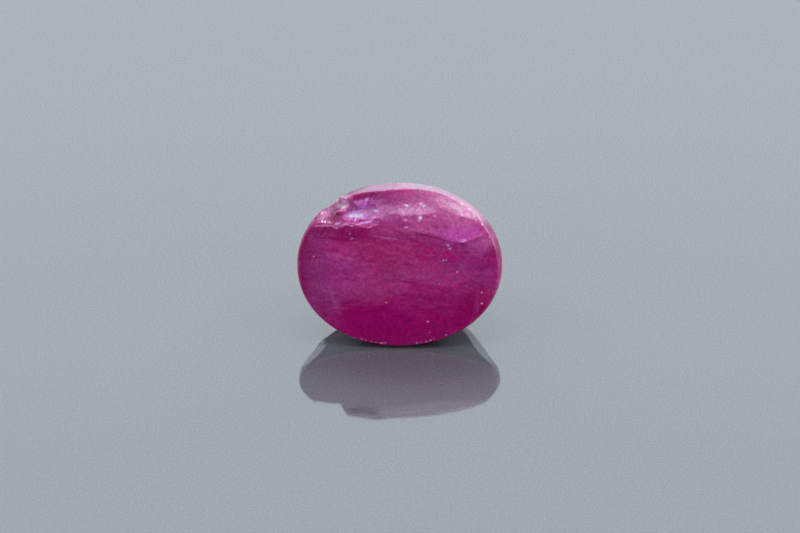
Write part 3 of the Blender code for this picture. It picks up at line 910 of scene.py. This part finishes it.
class RubyBody(Effect):
    """The ruby's colour all through the stone: bands, zones, veils and feathers, with painted glints,
    painted highlights and painted shade in the break, and painted sheen and glow.
    """

    title = "ruby body"
    takes = {"Place": "Vector", "Flake": "Float"}
    gives = {"Colour": "Color", "Veil": "Float"}
    cloud_share = 0.45
    streak_share = 0.20
    wisp_share = 0.36
    jitter_reach = 2.6
    fray_stretch = (3.2, 1.3, 2.0)
    grain_light = (0.80, 1.18)

    @classmethod
    def wire(cls, sheet: Sheet, entry: bpy.types.NodeOutputs) -> dict[str, Socket]:
        """Lays the bands over each other, then the marks, one after another.

        Args:
            sheet: the group's nodes.
            entry: the group's inputs.

        Returns:
            What comes out, by name.
        """
        place = entry["Place"]
        growth = sheet.group(LayeredGrowth.tree(), Place=place).outputs
        wander = sheet.drift(place, 2.6, 5.0)
        colour = sheet.mix(growth["Bands"], TINT.plum, TINT.crimson)
        colour = sheet.mix(sheet.math("MULTIPLY", growth["Clouds"], cls.cloud_share), colour, TINT.mauve)
        colour = cls.lay(sheet, colour, ZONES + BACK_ZONES, place, wander)
        colour = cls.lay(sheet, colour, FLAKE_MARKS, place, wander, entry["Flake"])
        colour = sheet.mix(sheet.math("MULTIPLY", growth["Streaks"], cls.streak_share), colour, TINT.orchid)
        colour = sheet.mix(sheet.math("MULTIPLY", growth["Wisps"], cls.wisp_share), colour, TINT.dark)
        colour = cls.lay(sheet, colour, LOW_TINTS_AND_GLOW, place, wander)
        veil = None
        for mark in VEILS + BACK_VEILS:
            colour, share = cls.laid(sheet, colour, mark, place, wander)
            if mark.colour in (TINT.veil, TINT.white):
                veil = share if veil is None else sheet.math("MAXIMUM", veil, share)
        colour = cls.breaks(sheet, colour, place)
        grain = sheet.ramp(growth["Grain"], 0.32, 0.68, *cls.grain_light)
        colour = sheet.vector("MULTIPLY", colour, grain)
        # The dots of the painted sparkle.
        sparks = sheet.dots(place, 8.5, 0.30, 0.30)
        return {"Colour": cls.lay(sheet, colour, GLINT_CLUSTERS, place, wander, sparks), "Veil": veil}

    @classmethod
    def breaks(cls, sheet: Sheet, colour: Socket, place: Socket) -> Socket:
        """Lays the marks of the break at the rim, among them its painted highlights and painted shade, and
        the painted glints, which have the sharpest edges.

        Args:
            sheet: the group's nodes.
            colour: the colour so far.
            place: the place in the stone.

        Returns:
            The new colour.
        """
        jitter = sheet.scaled(sheet.drift(place, 9.0, 3.0), cls.jitter_reach)
        frayed = sheet.vector("MULTIPLY", sheet.vector("ADD", place, jitter), cls.fray_stretch)
        frayed = sheet.ramp(sheet.noise(frayed, 2.6, 5.0, 0.8).outputs["Fac"], 0.46, 0.62)
        colour = cls.lay(sheet, colour, CHIP_GROUND, place, jitter)
        colour = cls.lay(sheet, colour, FRAYS, place, jitter, frayed)
        return cls.lay(sheet, colour, CHIP_MARKS + GLINTS, place, jitter)

    @classmethod
    def lay(
        cls,
        sheet: Sheet,
        colour: Socket,
        marks: tuple[Mark, ...],
        place: Socket,
        wander: Socket,
        within: Socket | None = None,
    ) -> Socket:
        """Lays marks over a colour, one after another.

        Args:
            sheet: the group's nodes.
            colour: the colour so far.
            marks: the marks.
            place: the place in the stone.
            wander: a noise that edges follow.
            within: a mask that the marks keep inside of.

        Returns:
            The new colour.
        """
        for mark in marks:
            colour = cls.laid(sheet, colour, mark, place, wander, within)[0]
        return colour

    @staticmethod
    def laid(
        sheet: Sheet,
        colour: Socket,
        mark: Mark,
        place: Socket,
        wander: Socket,
        within: Socket | None = None,
    ) -> tuple[Socket, Socket]:
        """Lays a mark over a colour.

        Args:
            sheet: the group's nodes.
            colour: the colour so far.
            mark: the mark.
            place: the place in the stone.
            wander: a noise that edges follow.
            within: a mask that the mark keeps inside of.

        Returns:
            The new colour and the mark's mask.
        """
        patch = sheet.group(
            RaggedPatch.tree(),
            Place=place,
            Wander=wander,
            Middle=mark.middle,
            Size=mark.size,
            Turn=math.radians(mark.turn),
            Soft=mark.soft,
            Ragged=mark.ragged,
        ).outputs["Mask"]
        share = sheet.math("MULTIPLY", patch, mark.share)
        if within is not None:
            share = sheet.math("MULTIPLY", share, within)
        return sheet.mix(share, colour, mark.colour), share


@dataclass(frozen=True)
class RubyFinish:
    """The ruby seen through one kind of surface.

    Args:
        name: the material's name.
        roughness: how rough the surface is where it is clean.
        ground_roughness: how rough it is on the bevel and the girdle.
        frost: how much paler the surface looks where it is ground.
        worn: how pale a worn edge is.
        gloss: how strongly it mirrors, where 0.5 is that of a clean polish.
        bump: how high the finest relief stands, in metres.
        depth: how much of its colour's light is left on the back's facets, which come out darker than the
            front.
        scatter: how far light runs inside, in metres, for red, green and blue.
        haze: how much rougher the surface is over the veils.
        back_haze: how much rougher it is on the back.
        specks: how pale the specks are.
        index: the refractive index of ruby.
    """

    name: str
    roughness: float
    ground_roughness: float
    frost: float
    worn: float
    gloss: float
    bump: float
    depth: float = 0.70
    scatter: Point = (0.0012, 0.00015, 0.0005)
    haze: float = 0.08
    back_haze: float = 0.03
    specks: float = 0.4
    index: float = 1.77

    def material(self, stone: StoneFrame) -> bpy.types.Material:
        """Wires the material.

        Args:
            stone: the frame that the colours and marks are placed in.

        Returns:
            The material.
        """
        material = bpy.data.materials.new(self.name)
        material.use_nodes = True
        sheet = Sheet(material.node_tree)
        shader = material.node_tree.nodes["Principled BSDF"]
        place = self.place(sheet, stone)
        masks = {}
        for mask in Mask:
            masks[mask] = sheet.add("ShaderNodeAttribute", attribute_name=mask.value).outputs["Fac"]
        body = sheet.group(RubyBody.tree(), Place=place, Flake=masks[Mask.FLAKE]).outputs
        wear = sheet.group(FineWear.tree(), Place=place, Edge=masks[Mask.EDGE]).outputs
        frosted = sheet.math("MULTIPLY", wear["Ground"], self.frost)
        # The ground rim's frost, which its mask paints palest high up: partly the grinding's own frost and
        # partly a painted highlight.
        pale = sheet.math("MULTIPLY", masks[Mask.GROUND_AND_SHEEN], frosted)
        shade = sheet.ramp(masks[Mask.BACK], 0.0, 1.0, 1.0, self.depth)
        colour = sheet.mix(pale, sheet.vector("MULTIPLY", body["Colour"], shade), TINT.frost)
        bright = sheet.math("MULTIPLY", wear["Worn"], self.worn)
        bright = sheet.math("MAXIMUM", bright, sheet.math("MULTIPLY", wear["Specks"], self.specks))
        sheet.put(shader.inputs["Base Color"], sheet.mix(bright, colour, TINT.white))
        rough = sheet.ramp(masks[Mask.GROUND_AND_SHEEN], 0.0, 1.0, self.roughness, self.ground_roughness)
        hazy = sheet.ramp(body["Veil"], 0.0, 1.0, self.roughness, self.roughness + self.haze)
        rough = sheet.math("MAXIMUM", rough, hazy)
        rough = sheet.math("ADD", rough, sheet.math("MULTIPLY", masks[Mask.BACK], self.back_haze))
        sheet.put(shader.inputs["Roughness"], rough)
        bump = sheet.add("ShaderNodeBump")
        sheet.put(bump.inputs["Height"], wear["Height"])
        sheet.put(bump.inputs["Strength"], 1.0)
        sheet.put(bump.inputs["Distance"], self.bump)
        sheet.put(shader.inputs["Normal"], bump.outputs[0])
        sheet.put(shader.inputs["IOR"], self.index)
        sheet.put(shader.inputs["Specular IOR Level"], self.gloss)
        sheet.put(shader.inputs["Subsurface Weight"], 1.0)
        sheet.put(shader.inputs["Subsurface Radius"], tuple(value / MM for value in self.scatter))
        sheet.put(shader.inputs["Subsurface Scale"], MM)
        return material

    @staticmethod
    def place(sheet: Sheet, stone: StoneFrame) -> Socket:
        """Works out where a shaded point lies.

        Args:
            sheet: the material's nodes.
            stone: the stone's frame.

        Returns:
            Its place in the stone's frame, in millimetres.
        """
        matrix = stone.to_stone()
        mapping = sheet.add("ShaderNodeMapping", vector_type="POINT")
        sheet.put(mapping.inputs["Location"], tuple(matrix.translation))
        sheet.put(mapping.inputs["Rotation"], tuple(matrix.to_euler()))
        sheet.put(mapping.inputs["Scale"], tuple(matrix.to_scale()))
        sheet.put(mapping.inputs["Vector"], sheet.add("ShaderNodeTexCoord").outputs["Object"])
        return mapping.outputs[0]


FINISHES = {
    Region.POLISHED: RubyFinish(
        name="polished ruby",
        roughness=0.15,
        ground_roughness=0.25,
        frost=0.80,
        worn=0.65,
        gloss=0.5,
        bump=0.000003,
    ),
    Region.BROKEN: RubyFinish(
        name="broken ruby",
        roughness=0.30,
        ground_roughness=0.30,
        frost=0.2,
        worn=0.0,
        gloss=0.16,
        bump=0.000014,
        scatter=(0.00035, 0.0001, 0.0002),
    ),
}


@dataclass(frozen=True)
class Crumb:
    """A small lump that still clings to a break at the rim, or a nick beside it.

    Args:
        middle: where it sits, in the girdle's plane.
        radius: how wide it is.
        height: how far it stands out, below 0 for a nick.
    """

    middle: Span
    radius: float
    height: float

    def push(self, points: np.ndarray, cut: Cut) -> np.ndarray:
        """Gives how far it moves the points near it.

        Args:
            points: places in the stone's frame, one a row.
            cut: the stone's cut, whose oval gives the way outward.

        Returns:
            One move a row.
        """
        near = ((points[:, :2] - np.array(self.middle)) ** 2).sum(axis=1) / self.radius**2
        x, y = self.middle
        outward = Vector((x / cut.half_length**2, y / cut.half_width**2, 0.0)).normalized()
        return self.height * (np.clip(1.0 - near, 0.0, 1.0) ** 2)[:, None] * np.array(outward)


CRUMBS = (
    Crumb((-3.06, 2.96), 0.30, 0.15),
    Crumb((-3.36, 2.84), 0.12, 0.05),
    Crumb((-3.58, 2.68), 0.11, 0.05),
    Crumb((-3.80, 2.52), 0.12, -0.05),
    Crumb((-3.98, 2.36), 0.14, -0.05),
)

SPLINTERS = (1.3, 3.6, 2.4)
SPLINTER_LEAN = 7.3


@dataclass
class Stone:
    """The ruby: a fine skin made from the plain solid, with relief in its breaks and wear on its edges.

    Args:
        place: the stone's frame.
        cut: the shape of the unbroken stone.
        voxel: the mesh's step, in millimetres like all that follow.
        break_tolerance: how far inside the cut a point is before it counts as broken.
        break_ease: how far inside it has the full relief of a break.
        sharp_turn: how sharp an edge is before points are moved onto it.
        snap_reach: how far they are moved at most, as a share of the voxel.
        edge_width: how far wear reaches from an edge.
        full_turn: how sharp an edge is before it wears in full.
        edge_wear: how deep an edge is worn.
        break_relief: how deep the relief of a break is.
        polish_wave: how deep the slow wave of the polish is.
        left_thinning: where the bevel starts to thin out to the left, and over what length.
        low_thinning: where it starts to thin out downwards, and over what length.
        flake_span: where along X the flake's tint, a painted sheen, starts, and over what length it grows.
        step_span: where along X the flake's edge starts to wear, and over what length.
        flake_worn: how much of the wear the flake's edge has.
        bevel_worn: how much the bevel's edge has.
        girdle_worn: how much the girdle's edge has.
        back_worn: how much the back's edges have.
        bevel_span: where up the face the bevel's edge starts to wear, and over what length.
        front_span: where along Z the wear starts to fade low in front, and over what length.
        pale_height: how high up the face the ground rim is palest, a painted highlight where the light from
            above catches it over the grinding's own frost.
        pale_span: where along X the ground rim starts to be pale, and over what length.
        least_pale: how pale the ground rim is where it is faintest.
    """

    place: StoneFrame
    cut: Cut
    voxel: float = 0.051
    break_tolerance: float = 0.018
    break_ease: float = 0.06
    sharp_turn: float = 0.15
    snap_reach: float = 0.62
    edge_width: float = 0.085
    full_turn: float = 0.45
    edge_wear: float = 0.014
    break_relief: float = 0.06
    polish_wave: float = 0.0015
    left_thinning: Span = (0.6, 1.6)
    low_thinning: Span = (0.0, 2.0)
    flake_span: Span = (-0.7, 1.8)
    step_span: Span = (2.8, 1.2)
    flake_worn: float = 0.8
    bevel_worn: float = 0.45
    girdle_worn: float = 0.1
    back_worn: float = 0.3
    bevel_span: Span = (-0.875, 2.5)
    front_span: Span = (-0.5, 0.5)
    pale_height: float = 3.5
    pale_span: Span = (-2.3, 2.6)
    least_pale: float = 0.05

    def build(self) -> bpy.types.Object:
        """Makes the piece, dresses it and fixes it to its body.

        Returns:
            The finished stone.
        """
        piece = self.skin()
        points = self.read(piece)
        broken = self.cut.distances(points).max(axis=1) < -self.break_tolerance
        distances, edge = self.settle(points, broken)
        piece.data.vertices.foreach_set("co", points.ravel())
        self.dress(piece, points, distances, edge, broken)
        self.shape(piece, points, distances, edge, broken)
        piece.data.transform(self.place.to_world())
        self.keep_inside(piece)
        piece.data.update()
        piece.data.shade_smooth()
        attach(piece, "root")
        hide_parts(NODE)
        LOG.info("stone: %d faces, %d broken points", len(piece.data.polygons), int(broken.sum()))
        return piece

    def settle(self, points: np.ndarray, broken: np.ndarray) -> tuple[np.ndarray, np.ndarray]:
        """Moves points onto the sharp edges, fills the bevel out where it thins, and finds the edges.

        Args:
            points: places in the stone's frame, one a row, which it changes.
            broken: which points lie in a break.

        Returns:
            How far the points are from the cut surfaces, and how worn the edge is at each, from 0 to 1.
        """
        lateral, turn, move = self.cut.edges(points)
        near = np.linalg.norm(move, axis=1) < self.snap_reach * self.voxel
        close = ~broken & (turn > self.sharp_turn) & near
        points[close] += move[close]
        distances = self.cut.distances(points)
        lift, filled = self.fill(points, distances, broken)
        points[:, 2] += lift
        distances[filled, Surface.BEVEL] = -1.0
        lateral[close] = 0.0
        edge = np.clip(1.0 - lateral / self.edge_width, 0.0, 1.0) * np.clip(turn / self.full_turn, 0.0, 1.0)
        edge[broken] = 0.0
        return distances, edge * self.worn_share(points, distances)

    def skin(self) -> bpy.types.Object:
        """Lays an even fine mesh over the plain solid.

        Returns:
            The mesh in the stone's frame, in millimetres.
        """
        solid = bpy.data.objects[NODE].data.copy()
        solid.transform(self.place.to_stone())
        core = bpy.data.objects.new("core", solid)
        piece = bpy.data.objects.new("ruby_stone", solid.copy())
        for obj in (core, piece):
            bpy.context.scene.collection.objects.link(obj)
        remesh = piece.modifiers.new("even", "REMESH")
        remesh.mode = "VOXEL"
        remesh.voxel_size = self.voxel
        wrap = piece.modifiers.new("fit", "SHRINKWRAP")
        wrap.target = core
        wrap.wrap_method = "NEAREST_SURFACEPOINT"
        graph = bpy.context.evaluated_depsgraph_get()
        fine = bpy.data.meshes.new_from_object(piece.evaluated_get(graph))
        piece.modifiers.clear()
        piece.data = fine
        fine.materials.clear()
        bpy.data.objects.remove(core)
        return piece

    @classmethod
    def keep_inside(cls, piece: bpy.types.Object) -> None:
        """Pulls points that stand past the plain solid's box back to it.

        Args:
            piece: the stone, placed in the world.
        """
        corners = cls.read(bpy.data.objects[NODE])
        points = np.clip(cls.read(piece), corners.min(axis=0), corners.max(axis=0))
        piece.data.vertices.foreach_set("co", points.ravel())

    @staticmethod
    def read(piece: bpy.types.Object) -> np.ndarray:
        """Reads a mesh's points.

        Args:
            piece: the object that has the mesh.

        Returns:
            The points, one a row.
        """
        flat = np.empty(len(piece.data.vertices) * 3)
        piece.data.vertices.foreach_get("co", flat)
        return flat.reshape(-1, 3)

    def thinning(self, points: np.ndarray) -> np.ndarray:
        """Gives how much the bevel thins out: at the left end and along the bottom."""
        x, y, _ = points.T
        return np.maximum(rise(-x, *self.left_thinning), rise(-y, *self.low_thinning))

    def fill(
        self, points: np.ndarray, distances: np.ndarray, broken: np.ndarray
    ) -> tuple[np.ndarray, np.ndarray]:
        """Fills the bevel out towards the face where it thins out.

        Args:
            points: places in the stone's frame, one a row.
            distances: how far they are from the cut surfaces.
            broken: which points lie in a break.

        Returns:
            How far each point rises, and which points become part of the face.
        """
        room = np.maximum(-distances[:, Surface.FACE], 0.0)
        bevel = (distances.argmax(axis=1) == Surface.BEVEL) & ~broken
        lift = np.where(bevel, np.maximum(points[:, 2], 0.0) * self.thinning(points), 0.0)
        return np.minimum(lift, room), bevel & (lift >= room)

    def worn_share(self, points: np.ndarray, distances: np.ndarray) -> np.ndarray:
        """Works out how much an edge is worn, which fades towards the bottom of the front.

        Args:
            points: places in the stone's frame, one a row.
            distances: how far they are from the cut surfaces.

        Returns:
            The share of the full wear at each point.
        """
        outer = np.argsort(distances, axis=1)[:, -2:].max(axis=1)
        x, y, z = points.T
        rim = rise(y, *self.bevel_span) * (1.0 - self.thinning(points))
        low = rise(-y, *self.low_thinning) * rise(z, *self.front_span)
        step = rise(x, *self.step_span)
        kinds = [outer == kind for kind in (Surface.FLAKE, Surface.BEVEL, Surface.GIRDLE)]
        shares = [self.flake_worn * step, self.bevel_worn * rim, self.girdle_worn]
        return np.select(kinds, shares, self.back_worn) * (1.0 - low)

    def dress(
        self,
        piece: bpy.types.Object,
        points: np.ndarray,
        distances: np.ndarray,
        edge: np.ndarray,
        broken: np.ndarray,
    ) -> None:
        """Writes the masks and gives the faces their materials.

        Args:
            piece: the stone.
            points: its points.
            distances: how far its points are from the cut surfaces.
            edge: how worn the edge is at each, from 0 to 1.
            broken: which points lie in a break.
        """
        x, y, _ = points.T
        surface = distances.argmax(axis=1)
        rim = (surface == Surface.BEVEL) | (surface == Surface.GIRDLE)
        # The ground rim is painted palest high up and to the right, a painted highlight where the light
        # from above catches it, laid over the grinding's own frost.
        pale = np.maximum(rise(y, 0.0, self.pale_height), self.least_pale)
        pale *= np.maximum(rise(x, *self.pale_span), self.least_pale)
        values = {
            Mask.EDGE: edge,
            Mask.GROUND_AND_SHEEN: (rim & ~broken) * pale,
            # The flake's mask carries its painted sheen.
            Mask.FLAKE: ((surface == Surface.FLAKE) & ~broken) * rise(x, *self.flake_span),
            Mask.BACK: surface > Surface.GIRDLE,
        }
        for mask, value in values.items():
            layer = piece.data.attributes.new(mask.value, "FLOAT", "POINT")
            layer.data.foreach_set("value", value.astype(float))
        for region in Region:
            piece.data.materials.append(FINISHES[region].material(self.place))
        corners = np.empty(len(piece.data.loops), dtype=np.int32)
        piece.data.loops.foreach_get("vertex_index", corners)
        slots = [
            Region.BROKEN.value if broken[corners[face.loop_start]] else Region.POLISHED.value
            for face in piece.data.polygons
        ]
        piece.data.polygons.foreach_set("material_index", slots)

    def shape(
        self,
        piece: bpy.types.Object,
        points: np.ndarray,
        distances: np.ndarray,
        edge: np.ndarray,
        broken: np.ndarray,
    ) -> None:
        """Adds the fine relief: rough breaks, worn edges and the slow wave of a hand polish.

        Args:
            piece: the stone.
            points: its points.
            distances: how far they are from the cut surfaces.
            edge: how worn the edge is at each, from 0 to 1.
            broken: which points lie in a break.
        """
        normals = np.empty(len(points) * 3)
        piece.data.vertex_normals.foreach_get("vector", normals)
        normals = normals.reshape(-1, 3)
        deep = rise(-distances.max(axis=1), self.break_tolerance, self.break_ease)
        on_rest = distances[:, Surface.REST] > -self.break_tolerance / 2
        depth = np.zeros(len(points))
        for i, point in enumerate(points):
            spot = Vector(point)
            if broken[i]:
                depth[i] = self.break_relief * deep[i] * self.fracture(spot)
            elif not on_rest[i]:
                bite = max(0.0, noise.noise(spot * 2.3)) + max(0.0, noise.noise(spot * 7.0) - 0.2)
                wave = self.polish_wave * (1.0 + noise.noise(spot * 1.1))
                depth[i] = self.edge_wear * edge[i] * bite + wave
        moved = points - normals * depth[:, None]
        for crumb in CRUMBS:
            moved += crumb.push(points, self.cut) * broken[:, None]
        piece.data.vertices.foreach_set("co", moved.ravel())
        piece.data.update()

    @staticmethod
    def fracture(spot: Vector) -> float:
        """Works out how deep a break's splintered planes lie.

        Args:
            spot: a place in the stone's frame.

        Returns:
            The depth there, from 0 to about 1.
        """
        stretched = Vector([stretch * value for stretch, value in zip(SPLINTERS, spot)])
        near = noise.voronoi(stretched)[1][0]
        lean = noise.cell_vector(near * SPLINTER_LEAN)
        plane = 0.45 + 0.8 * (stretched - near).dot(lean - Vector((0.5, 0.5, 0.5)))
        return max(0.0, plane) + 0.25 * abs(noise.noise(spot * 9.0))


@dataclass(frozen=True)
class Studio:
    """The floor, the light and the camera, in metres.

    A span of light gives where it starts and where it is full, as a share of the way to the side, the back
    or straight up.

    Args:
        stone: the stone's frame.
        floor_half: half of the floor's width.
        floor_colour: the floor's colour.
        floor_index: its refractive index.
        floor_roughness: how rough it is.
        dust_scale: how many patches of dust there are to a metre.
        dust_light: how much darker and paler the dust makes it.
        camera_height: the camera's height angle.
        distance: how far the camera is from the stone.
        lens: its focal length in millimetres.
        near_clip: how near it sees.
        right_shift: how far it aims to the right of the stone's middle.
        down_shift: how far it aims below.
        light_colour: the colour of all light.
        back_light: how bright the light behind is.
        top_light: how bright the light overhead is.
        side_light: how bright the light at the sides is.
        back_span: where the light behind starts, towards the back.
        back_rise: where it starts above the floor.
        top_span: where it passes to the light overhead.
        side_span: where the light at the sides starts.
        side_rise: where that starts above the floor.
        gap_start: where a gap at either side of the light behind opens.
        gap_end: where the gap closes again.
        gap_span: where the gap starts, towards the back.
        gap_rise: how much higher the light starts in the gap.
        front_light: how bright the box in front is.
        front_height: its height angle.
        front_distance: how far it hangs from the stone.
        front_size: its width and height.
        room_light: how bright the rest of the room is.
    """

    stone: StoneFrame
    floor_half: float = 0.6
    floor_colour: Colour = (0.118, 0.126, 0.134)
    floor_index: float = 2.1
    floor_roughness: float = 0.05
    dust_scale: float = 9000.0
    dust_light: Span = (0.88, 1.28)
    camera_height: float = math.radians(35.0)
    distance: float = 0.206
    lens: float = 190.0
    near_clip: float = 0.001
    right_shift: float = 0.000015
    down_shift: float = 0.000098
    light_colour: Colour = (0.85, 0.94, 1.0)
    back_light: float = 2.15
    top_light: float = 1.85
    side_light: float = 1.1
    back_span: Span = (-0.12, -0.03)
    back_rise: Span = (0.05, 0.28)
    top_span: Span = (0.50, 0.70)
    side_span: Span = (0.48, 0.62)
    side_rise: Span = (0.0, 0.15)
    gap_start: Span = (0.74, 0.82)
    gap_end: Span = (0.88, 0.94)
    gap_span: Span = (0.1, 0.3)
    gap_rise: float = 0.25
    front_light: float = 3.7
    front_height: float = math.radians(58.0)
    front_distance: float = 0.25
    front_size: Span = (0.40, 0.09)
    room_light: float = 0.02

    def build(self, stone: bpy.types.Object) -> None:
        """Builds the floor, the lights and the camera.

        Args:
            stone: the piece that the front box lights.
        """
        self.floor()
        self.light()
        self.front(stone)
        self.camera()
        bpy.context.scene.view_settings.view_transform = "Standard"

    def floor(self) -> None:
        """Lays a plain floor with a gloss that takes its pale grey from the light behind."""
        half = self.floor_half
        mesh = bpy.data.meshes.new("floor")
        corners = [(-half, -half, 0), (half, -half, 0), (half, half, 0), (-half, half, 0)]
        mesh.from_pydata(corners, [], [(0, 1, 2, 3)])
        floor = bpy.data.objects.new("floor", mesh)
        bpy.context.scene.collection.objects.link(floor)
        material = bpy.data.materials.new("floor")
        material.use_nodes = True
        shader = material.node_tree.nodes["Principled BSDF"]
        sheet = Sheet(material.node_tree)
        place = sheet.add("ShaderNodeTexCoord").outputs["Object"]
        dust = sheet.noise(place, self.dust_scale).outputs["Fac"]
        dust = sheet.ramp(dust, 0.35, 0.75, *self.dust_light)
        sheet.put(shader.inputs["Base Color"], sheet.vector("MULTIPLY", self.floor_colour, dust))
        sheet.put(shader.inputs["Roughness"], self.floor_roughness)
        sheet.put(shader.inputs["IOR"], self.floor_index)
        mesh.materials.append(material)

    def light(self) -> None:
        """Lights the room: a bright back that ends overhead, bright sides beyond a gap, and a dim rest."""
        world = bpy.data.worlds.new("studio")
        bpy.context.scene.world = world
        world.use_nodes = True
        sheet = Sheet(world.node_tree)
        way = sheet.add("ShaderNodeTexCoord").outputs["Generated"]
        split = sheet.add("ShaderNodeSeparateXYZ")
        sheet.put(split.inputs[0], way)
        depth, height = split.outputs["Y"], split.outputs["Z"]
        aside = sheet.math("ABSOLUTE", split.outputs["X"])
        opening = sheet.ramp(aside, *self.gap_start)
        gap = sheet.math("MULTIPLY", opening, sheet.ramp(aside, *self.gap_end, 1.0, 0.0))
        gap = sheet.math("MULTIPLY", gap, sheet.ramp(depth, *self.gap_span))
        raised = sheet.math("SUBTRACT", height, sheet.math("MULTIPLY", gap, self.gap_rise))
        behind = sheet.ramp(depth, *self.back_span)
        behind = sheet.math("MULTIPLY", behind, sheet.ramp(raised, *self.back_rise))
        level = sheet.ramp(height, *self.top_span, self.back_light, self.top_light)
        sides = sheet.ramp(aside, *self.side_span)
        sides = sheet.math("MULTIPLY", sides, sheet.ramp(height, *self.side_rise))
        sides = sheet.math("MULTIPLY", sides, sheet.math("SUBTRACT", 1.0, gap))
        total = sheet.math("ADD", self.room_light, sheet.math("MULTIPLY", behind, level))
        total = sheet.math("MAXIMUM", total, sheet.math("MULTIPLY", sides, self.side_light))
        background = world.node_tree.nodes["Background"]
        sheet.put(background.inputs["Color"], self.light_colour)
        sheet.put(background.inputs["Strength"], total)

    def front(self, stone: bpy.types.Object) -> None:
        """Hangs a long soft box in front, above the camera, that lights the stone and spares the floor.

        Args:
            stone: the piece that it lights.
        """
        width, height = self.front_size
        data = bpy.data.lights.new("front box", "AREA")
        data.shape = "RECTANGLE"
        data.size = width
        data.size_y = height
        data.color = self.light_colour
        data.energy = self.front_light * math.pi * width * height
        box = bpy.data.objects.new("front box", data)
        outward = Vector((0.0, -math.cos(self.front_height), math.sin(self.front_height)))
        box.location = self.stone.middle() + outward * self.front_distance
        box.rotation_euler = outward.to_track_quat("Z", "Y").to_euler()
        bpy.context.scene.collection.objects.link(box)
        lit = bpy.data.collections.new("lit from the front")
        lit.objects.link(stone)
        box.light_linking.receiver_collection = lit

    def camera(self) -> None:
        """Sets the camera at the photograph's viewing angle."""
        forward = Vector((0.0, math.cos(self.camera_height), -math.sin(self.camera_height)))
        up = Vector((0.0, math.sin(self.camera_height), math.cos(self.camera_height)))
        aim = self.stone.middle() + Vector((self.right_shift, 0.0, 0.0)) - up * self.down_shift
        data = bpy.data.cameras.new("camera")
        data.lens = self.lens
        data.clip_start = self.near_clip
        camera = bpy.data.objects.new("camera", data)
        camera.location = aim - forward * self.distance
        camera.rotation_euler = forward.to_track_quat("-Z", "Y").to_euler()
        bpy.context.scene.collection.objects.link(camera)
        bpy.context.scene.camera = camera


def main() -> None:
    """Builds the stone and its surroundings."""
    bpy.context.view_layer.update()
    place = StoneFrame()
    stone = Stone(place, Cut()).build()
    Studio(place).build(stone)


if __name__ == "__main__":
    main()
